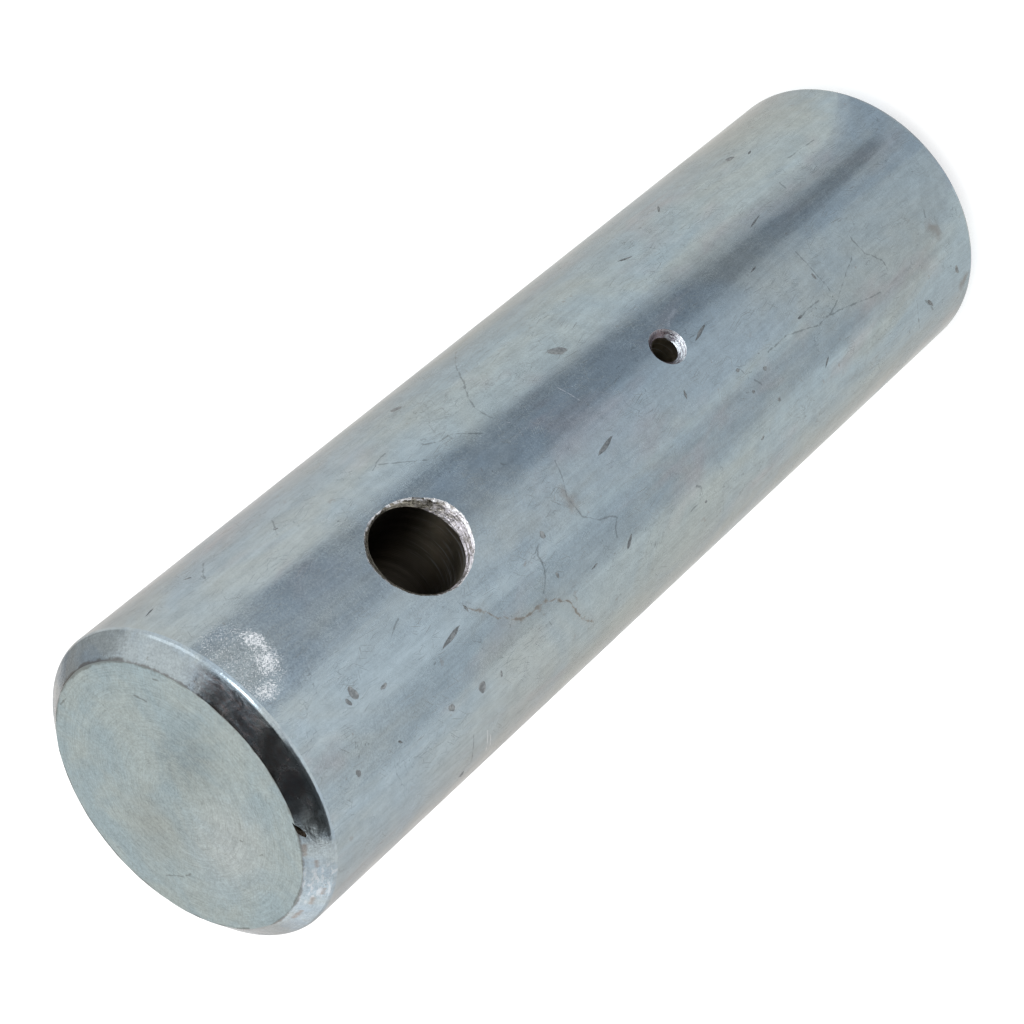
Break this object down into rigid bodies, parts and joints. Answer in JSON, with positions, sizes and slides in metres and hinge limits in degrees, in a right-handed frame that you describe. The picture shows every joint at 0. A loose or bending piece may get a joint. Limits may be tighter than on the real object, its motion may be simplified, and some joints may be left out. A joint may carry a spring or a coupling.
{
  "type": "pivot pin",
  "caption": "Round steel pivot pin with chamfered ends, a cross hole for a lock bolt, and a small grease hole fed from a port in one end.",
  "frame": {"origin": "centre of the bottom end face, the end with the grease port", "axes": "+Z along the pin's axis towards the plain end by the bolt hole, Y along the bolt hole, with the grease hole opening towards -Y"},
  "size_m": [0.045, 0.045, 0.16],
  "materials": {
    "zinc_plating": "bright zinc plating, scuffed"
  },
  "bodies": {
    "root": {"pivot_pin": "zinc_plating"}
  },
  "joints": []
}
